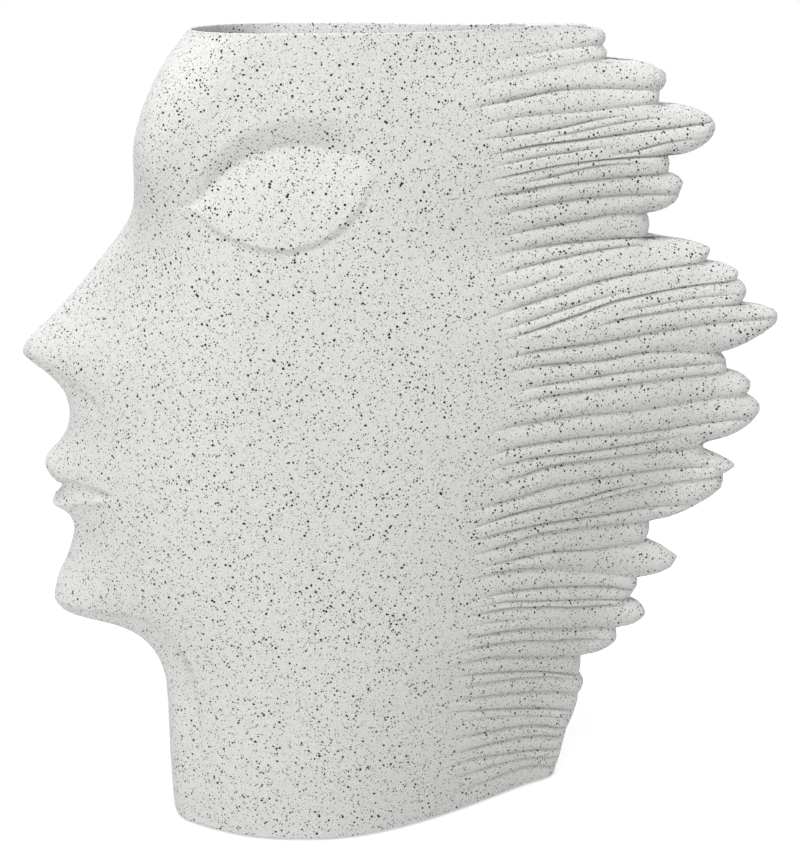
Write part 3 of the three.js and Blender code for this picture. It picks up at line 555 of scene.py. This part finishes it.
def inner_row(z, inset, shares, rear_shares):
    """Section of the inside at one level, from the front to its flat rear wall, set in by a depth."""
    front = cavity_front_at(z)
    x = mix(front, cavity_rear_at(z), shares)
    probe = np.minimum(PROBE, np.maximum(x - front, TINY) / 2)
    rise = (core_width(x + probe, z) - core_width(x - probe, z)) / (2 * probe)
    length = np.hypot(rise, 1)
    width = core_width(x, z) - inset / length
    x = x + inset * rise / length
    width[0] = 0
    x[0] = front + inset
    rear_x = np.full(len(rear_shares), x[-1])
    rear_w = width[-1] * (1 - rear_shares)
    return np.concatenate([x, rear_x]), np.maximum(np.concatenate([width, rear_w]), SEAM)


def inner_rows(rim_x):
    """Inside of the moulding from the foot up to the lip, on the columns of the rim's outer row."""
    front = cavity_front_at(RIM_HEIGHT)
    rear = cavity_rear_at(RIM_HEIGHT)
    ahead = rim_x[rim_x < rear]
    shares = np.append((ahead[:-1] - front) / (rear - front), 1.0)
    rear_shares = np.linspace(0, 1, len(rim_x) - len(shares) + 1)[1:]
    foot = inner_row(STAND_HEIGHT, WALL, shares, rear_shares)
    rows = [(*foot, STAND_HEIGHT), (*foot, SEAT_TOP)]
    for level, extra in [(SEAT_TOP, SHOULDER_WIDTH), (SHOULDER_TOP, SHOULDER_WIDTH), (SHOULDER_END, 0)]:
        rows.append((*inner_row(level, WALL + extra, shares, rear_shares), level))
    for level in INNER_LEVELS:
        rows.append((*inner_row(level, WALL, shares, rear_shares), level))
    flare_level = RIM_HEIGHT - FLARE_HEIGHT
    rows.append((*inner_row(flare_level, WALL, shares, rear_shares), flare_level))
    for angle in reversed(RIM_STEPS):
        turn = math.radians(angle)
        inset = WALL - RIM_FLARE - RIM_ROUNDING * (1 - math.cos(turn))
        x, width = inner_row(RIM_HEIGHT, inset, shares, rear_shares)
        rows.append((x, width, rim_rise_at(x) - RIM_ROUNDING * (1 - math.sin(turn))))
    return rows


def moulding_rows():
    """All rows of one half moulding as a closed loop: rim, outside, foot, inside and back to the rim."""
    x, z, width = outer_rows()
    rows = []
    for angle in RIM_STEPS:
        turn = math.radians(angle)
        rounded = set_in(x[0], width[0], RIM_ROUNDING * (1 - math.cos(turn)))
        rows.append((*rounded, z[0] - RIM_ROUNDING * (1 - math.sin(turn))))
    for j in range(ROWS_IN_ROUNDING, len(x) - 1):
        rows.append((x[j], width[j], z[j]))
    for angle in FOOT_STEPS:
        turn = math.radians(angle)
        rounded = set_in(x[-1], width[-1], FOOT_ROUNDING * (1 - math.cos(turn)))
        rows.append((*rounded, z[-1] + FOOT_ROUNDING * (1 - math.sin(turn))))
    rows.extend(inner_rows(x[0]))
    return [(rx, rw, np.broadcast_to(rz, rx.shape)) for rx, rw, rz in rows]


def moulding(name, side, rows):
    """One half moulding as a mesh; side is -1 for the near half and 1 for the far one."""
    grid = np.array([np.stack([rx, side * rw, rz], axis=1) for rx, rw, rz in rows]) * METRE
    count, columns = grid.shape[:2]
    j, i = np.meshgrid(np.arange(count), np.arange(columns - 1), indexing="ij")
    below = (j + 1) % count
    upper_left = j * columns + i
    lower_left = below * columns + i
    quads = np.stack([upper_left, lower_left, lower_left + 1, upper_left + 1], axis=2).reshape(-1, 4)
    front = np.arange(count)[::-1] * columns
    rear = np.arange(count) * columns + columns - 1
    if side > 0:
        quads, front, rear = quads[:, ::-1], front[::-1], rear[::-1]
    faces = quads.tolist() + [front.tolist(), rear.tolist()]
    mesh = bpy.data.meshes.new(name)
    mesh.from_pydata(grid.reshape(-1, 3).tolist(), [], faces)
    flat_faces = 2
    is_smooth = np.ones(len(faces), bool)
    is_smooth[-flat_faces:] = False
    mesh.polygons.foreach_set("use_smooth", is_smooth)
    mesh.set_sharp_from_angle(angle=math.radians(SHARP_ANGLE))
    mesh.update()
    piece = bpy.data.objects.new(name, mesh)
    bpy.context.scene.collection.objects.link(piece)
    return piece


class Graph:
    """A material under construction: a Principled shader and the nodes that feed it."""

    def __init__(self, name, color, roughness):
        self.material = bpy.data.materials.new(name)
        self.material.use_nodes = True
        self.material.diffuse_color = (*color, 1)
        self.tree = self.material.node_tree
        self.shader = self.tree.nodes["Principled BSDF"]
        self.shader.inputs["Base Color"].default_value = (*color, 1)
        self.shader.inputs["Roughness"].default_value = roughness
        self.place = self.node("ShaderNodeTexCoord").outputs["Object"]

    def node(self, kind, **settings):
        node = self.tree.nodes.new(kind)
        for key, value in settings.items():
            setattr(node, key, value)
        return node

    def feed(self, socket, value):
        if isinstance(value, bpy.types.NodeSocket):
            self.tree.links.new(value, socket)
        else:
            socket.default_value = value

    def math(self, operation, *values, clamp=False):
        node = self.node("ShaderNodeMath", operation=operation, use_clamp=clamp)
        for socket, value in zip(node.inputs, values):
            self.feed(socket, value)
        return node.outputs[0]

    def noise(self, size, detail):
        """Noise whose clouds are about as large as size, in metres."""
        node = self.node("ShaderNodeTexNoise")
        self.feed(node.inputs["Vector"], self.place)
        node.inputs["Scale"].default_value = 1 / size
        node.inputs["Detail"].default_value = detail
        return node

    def spread(self, value, low, high, start=0.25, end=0.75):
        """A value between start and end, brought to between low and high."""
        node = self.node("ShaderNodeMapRange")
        self.feed(node.inputs["Value"], value)
        node.inputs["From Min"].default_value = start
        node.inputs["From Max"].default_value = end
        node.inputs["To Min"].default_value = low
        node.inputs["To Max"].default_value = high
        return node.outputs["Result"]

    def blend(self, share, a, b):
        node = self.node("ShaderNodeMix", data_type="RGBA", blend_type="MIX")
        sockets = {s.identifier: s for s in node.inputs}
        self.feed(sockets["Factor_Float"], share)
        self.feed(sockets["A_Color"], a)
        self.feed(sockets["B_Color"], b)
        return next(s for s in node.outputs if s.identifier == "Result_Color")

    def bump(self, height, distance, strength, normal=None):
        node = self.node("ShaderNodeBump")
        node.inputs["Distance"].default_value = distance
        node.inputs["Strength"].default_value = strength
        self.feed(node.inputs["Height"], height)
        if normal is not None:
            self.feed(node.inputs["Normal"], normal)
        return node.outputs["Normal"]

    def set(self, **inputs):
        for key, value in inputs.items():
            self.feed(self.shader.inputs[key.replace("_", " ")], value)


# Sprayed specks, in metres: spacing of the drops in space, and their smallest and largest radius.
SPECKS = [(0.0034, 0.0005, 0.0012), (0.002, 0.0003, 0.00072), (0.0013, 0.00012, 0.0004)]
SPECK_SHARE = 0.6            # share of the drops that is there
SPECK_POWER = 2.0            # how much the small ones among them outnumber the large ones
SPECK_SOFT = 0.00004         # width of a drop's soft edge
SPECK_TURN = (0.5, 0.7, 0.3)
SHAKE_SIZE = 0.0013          # size of the unevenness in the drops' outlines
SHAKE_REACH = 0.001          # how strong it is
NOISE_MIDDLE = (0.5, 0.5, 0.5)
CASTING_WHITE = (0.74, 0.735, 0.72)
SPECK_BLACK = (0.014, 0.0135, 0.013, 1)
PLATE_GREY = (0.48, 0.47, 0.44)
PLATE_DARK = (0.42, 0.41, 0.38, 1)
PLATE_PALE = (0.54, 0.53, 0.5, 1)
PLATE_PORES = (0.3, 0.29, 0.27, 1)
TAPE_GREY = (0.62, 0.6, 0.55)
TAPE_RESIN = (0.5, 0.48, 0.42, 1)
TAPE_STRANDS = (0.68, 0.66, 0.62, 1)
TAPE_SOAKED = (0.58, 0.54, 0.44, 1)
TAPE_WEAVE = 125.0           # scale of the wave texture, for strands about 2.5 mm apart
RUBBER_BLACK = (0.04, 0.04, 0.035)
RUBBER_DARK = (0.03, 0.03, 0.027, 1)
RUBBER_PALE = (0.055, 0.055, 0.05, 1)


def ragged_place(graph):
    """Object coordinates turned off the axes and shaken, so that the specks are neither in rows nor round."""
    shake = graph.noise(SHAKE_SIZE, detail=1.0).outputs["Color"]
    centred = graph.node("ShaderNodeVectorMath", operation="SUBTRACT")
    graph.feed(centred.inputs[0], shake)
    centred.inputs[1].default_value = NOISE_MIDDLE
    scaled = graph.node("ShaderNodeVectorMath", operation="SCALE")
    graph.feed(scaled.inputs[0], centred.outputs[0])
    scaled.inputs["Scale"].default_value = SHAKE_REACH
    turned = graph.node("ShaderNodeMapping")
    graph.feed(turned.inputs["Vector"], graph.place)
    turned.inputs["Rotation"].default_value = SPECK_TURN
    moved = graph.node("ShaderNodeVectorMath", operation="ADD")
    graph.feed(moved.inputs[0], turned.outputs[0])
    graph.feed(moved.inputs[1], scaled.outputs[0])
    return moved.outputs[0]


def speck_mask(graph, place, spacing, small, large):
    """1 inside the drops of one size and 0 between them."""
    cells = graph.node("ShaderNodeTexVoronoi", feature="F1", voronoi_dimensions="3D")
    graph.feed(cells.inputs["Vector"], place)
    cells.inputs["Scale"].default_value = 1 / spacing
    cells.inputs["Randomness"].default_value = 1.0
    draw = graph.node("ShaderNodeSeparateColor")
    graph.feed(draw.inputs["Color"], cells.outputs["Color"])
    there = graph.math("LESS_THAN", draw.outputs["Red"], SPECK_SHARE)
    size = graph.math("POWER", draw.outputs["Green"], SPECK_POWER)
    radius = graph.spread(size, low=small / spacing, high=large / spacing, start=0, end=1)
    inside = graph.math("SUBTRACT", radius, cells.outputs["Distance"])
    edge = graph.math("MULTIPLY_ADD", inside, spacing / SPECK_SOFT, 0.5, clamp=True)
    return graph.math("MULTIPLY", edge, there)


def speckled_casting():
    """Matt white casting with a fine grain, sprayed with black specks."""
    graph = Graph("speckled_casting", CASTING_WHITE, roughness=0.72)
    place = ragged_place(graph)
    mask = None
    for layer in SPECKS:
        drops = speck_mask(graph, place, *layer)
        mask = drops if mask is None else graph.math("MAXIMUM", mask, drops)
    grain = graph.noise(size=0.0011, detail=3.0).outputs["Fac"]
    clouds = graph.noise(size=0.09, detail=2.0).outputs["Fac"]
    fine_tone = graph.spread(grain, low=0.82, high=1.15)
    wide_tone = graph.spread(clouds, low=0.985, high=1.015)
    tone = graph.math("MULTIPLY", fine_tone, wide_tone)
    lit = graph.node("ShaderNodeVectorMath", operation="SCALE")
    lit.inputs[0].default_value = CASTING_WHITE
    graph.feed(lit.inputs["Scale"], tone)
    graph.set(Base_Color=graph.blend(mask, lit.outputs[0], SPECK_BLACK))
    graph.set(Roughness=graph.spread(grain, low=0.64, high=0.8))
    peel = graph.noise(size=0.006, detail=2.0).outputs["Fac"]
    skin = graph.bump(peel, distance=0.0006, strength=0.25)
    graph.set(Normal=graph.bump(grain, distance=0.0003, strength=0.35, normal=skin))
    graph.shader.inputs["Specular IOR Level"].default_value = 0.35
    return graph.material


def bare_casting():
    """Grey casting without its finish, stained and porous."""
    graph = Graph("bare_casting", PLATE_GREY, roughness=0.85)
    grain = graph.noise(size=0.0015, detail=4.0).outputs["Fac"]
    clouds = graph.noise(size=0.03, detail=4.0).outputs["Fac"]
    stained = graph.blend(graph.spread(clouds, low=0, high=1), PLATE_DARK, PLATE_PALE)
    graph.set(Base_Color=graph.blend(graph.spread(grain, low=0, high=0.25), stained, PLATE_PORES))
    graph.set(Roughness=graph.spread(grain, low=0.78, high=0.95))
    graph.set(Normal=graph.bump(grain, distance=0.0008, strength=0.5))
    return graph.material


def glass_tape():
    """Glass cloth soaked in resin: a plain weave of flat strands."""
    graph = Graph("glass_tape", TAPE_GREY, roughness=0.55)
    weave = []
    for axis in ("Y", "Z"):
        wave = graph.node("ShaderNodeTexWave", wave_type="BANDS", bands_direction=axis, wave_profile="SIN")
        graph.feed(wave.inputs["Vector"], graph.place)
        wave.inputs["Scale"].default_value = TAPE_WEAVE
        wave.inputs["Distortion"].default_value = 0.6
        wave.inputs["Detail"].default_value = 2.0
        weave.append(wave.outputs["Fac"])
    cloth = graph.math("MAXIMUM", *weave)
    soaked = graph.noise(size=0.05, detail=3.0).outputs["Fac"]
    raised = graph.spread(cloth, low=0, high=1, start=0.3, end=1)
    strands = graph.blend(raised, TAPE_RESIN, TAPE_STRANDS)
    graph.set(Base_Color=graph.blend(graph.spread(soaked, low=0, high=0.5), strands, TAPE_SOAKED))
    graph.set(Roughness=graph.spread(cloth, low=0.6, high=0.42))
    graph.set(Normal=graph.bump(cloth, distance=0.0008, strength=0.6))
    return graph.material


def pad_rubber():
    """Black rubber with a fine grain."""
    graph = Graph("pad_rubber", RUBBER_BLACK, roughness=0.9)
    grain = graph.noise(size=0.0009, detail=3.0).outputs["Fac"]
    graph.set(Base_Color=graph.blend(graph.spread(grain, low=0, high=1), RUBBER_DARK, RUBBER_PALE))
    graph.set(Roughness=graph.spread(grain, low=0.8, high=0.98))
    graph.set(Normal=graph.bump(grain, distance=0.0004, strength=0.5))
    return graph.material


def dress(piece, material):
    """Gives a piece its material."""
    piece.data.materials.clear()
    piece.data.materials.append(material)


casting = speckled_casting()
half_rows = moulding_rows()
for shell, side in [("left", -1), ("right", 1)]:
    half = moulding(f"{shell}_moulding", side, half_rows)
    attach(half, "root")
    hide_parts(f"{shell}_shell")
    dress(half, casting)

dress(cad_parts["base_plate"], bare_casting())
tape = glass_tape()
for name in ("front_joint_tape", "rear_joint_tape"):
    dress(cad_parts[name], tape)
rubber = pad_rubber()
for name in ("front_left_pad", "front_right_pad", "side_left_pad", "side_right_pad", "rear_pad"):
    dress(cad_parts[name], rubber)

# Studio: a pale floor that reads as white, a soft key light from above the near side, a weaker one from
# ahead of the face on that side, one from above the far side, and soft light that comes mostly from the
# front and above.
FLOOR_SIZE = 5.0
FLOOR_COLOR = (0.7, 0.7, 0.7, 1)
FLOOR_GLOW = 0.52            # what the floor shows the camera on top of the light that falls on it
WHITE = (1, 1, 1, 1)
AMBIENT_FRONT = 0.74         # strength of the soft light from the direction FRONT
AMBIENT_BACK = 0.22          # its strength from the opposite direction
FRONT = (-0.37, -0.77, 0.52)
LIGHT_SIZE = 1.6
LIGHT_AIM = (0, 0, 0.35)
# Name, place in metres and power in watts.
LIGHTS = [
    ("key_light", (0, -1.1, 2.7), 29.0),
    ("side_light", (-1.75, -1.7, 1.5), 12.5),
    ("back_light", (-0.6, 1.2, 2.6), 20.0),
]
SENSOR_WIDTH = 36.0
LENS = 71.65
CAMERA_PLACE = (0, -1.4887, 0.7447)
CAMERA_PITCH = 15.336        # how far the camera looks down, in degrees


def seen_directly(tree):
    """1 for rays of the camera, mirrors and glass, and 0 for rays that light the scene."""
    path = tree.nodes.new("ShaderNodeLightPath")
    seen = path.outputs["Is Camera Ray"]
    for name in ("Is Glossy Ray", "Is Transmission Ray"):
        either = tree.nodes.new("ShaderNodeMath")
        either.operation = "MAXIMUM"
        tree.links.new(seen, either.inputs[0])
        tree.links.new(path.outputs[name], either.inputs[1])
        seen = either.outputs[0]
    return seen


def studio_floor():
    """A plain square floor that shows white and keeps the object's shadow."""
    half = FLOOR_SIZE / 2
    corners = [(-half, -half, 0), (half, -half, 0), (half, half, 0), (-half, half, 0)]
    mesh = bpy.data.meshes.new("studio_floor")
    mesh.from_pydata(corners, [], [(0, 1, 2, 3)])
    floor = bpy.data.objects.new("studio_floor", mesh)
    bpy.context.scene.collection.objects.link(floor)
    material = bpy.data.materials.new("studio_floor")
    material.use_nodes = True
    tree = material.node_tree
    shader = tree.nodes["Principled BSDF"]
    shader.inputs["Base Color"].default_value = FLOOR_COLOR
    shader.inputs["Roughness"].default_value = 1.0
    shader.inputs["Specular IOR Level"].default_value = 0.0
    shader.inputs["Emission Color"].default_value = WHITE
    glow = tree.nodes.new("ShaderNodeMath")
    glow.operation = "MULTIPLY"
    tree.links.new(seen_directly(tree), glow.inputs[0])
    glow.inputs[1].default_value = FLOOR_GLOW
    tree.links.new(glow.outputs[0], shader.inputs["Emission Strength"])
    mesh.materials.append(material)


def studio_world():
    """White where it is seen, and soft light that is stronger from the front and above."""
    world = bpy.data.worlds.new("studio_world")
    world.use_nodes = True
    tree = world.node_tree
    background = tree.nodes["Background"]
    background.inputs["Color"].default_value = WHITE
    place = tree.nodes.new("ShaderNodeTexCoord")
    facing = tree.nodes.new("ShaderNodeVectorMath")
    facing.operation = "DOT_PRODUCT"
    tree.links.new(place.outputs["Generated"], facing.inputs[0])
    facing.inputs[1].default_value = FRONT
    ambient = tree.nodes.new("ShaderNodeMapRange")
    ambient.inputs["From Min"].default_value = -1.0
    ambient.inputs["To Min"].default_value = AMBIENT_BACK
    ambient.inputs["To Max"].default_value = AMBIENT_FRONT
    tree.links.new(facing.outputs["Value"], ambient.inputs["Value"])
    level = tree.nodes.new("ShaderNodeMapRange")
    level.inputs["To Max"].default_value = 1.0
    tree.links.new(ambient.outputs["Result"], level.inputs["To Min"])
    tree.links.new(seen_directly(tree), level.inputs["Value"])
    tree.links.new(level.outputs["Result"], background.inputs["Strength"])
    bpy.context.scene.world = world


def area_light(name, place, power):
    data = bpy.data.lights.new(name, "AREA")
    data.shape = "DISK"
    data.size = LIGHT_SIZE
    data.energy = power
    light = bpy.data.objects.new(name, data)
    light.location = place
    light.rotation_euler = (Vector(LIGHT_AIM) - Vector(place)).to_track_quat("-Z", "Y").to_euler()
    bpy.context.scene.collection.objects.link(light)


def photo_camera():
    """The camera as solved from the photograph."""
    data = bpy.data.cameras.new("photo_camera")
    data.sensor_width = SENSOR_WIDTH
    data.lens = LENS
    camera = bpy.data.objects.new("photo_camera", data)
    camera.location = CAMERA_PLACE
    camera.rotation_euler = (math.radians(90 - CAMERA_PITCH), 0, 0)
    bpy.context.scene.collection.objects.link(camera)
    bpy.context.scene.camera = camera


studio_floor()
studio_world()
for light in LIGHTS:
    area_light(*light)
photo_camera()
bpy.context.scene.view_settings.view_transform = "Standard"
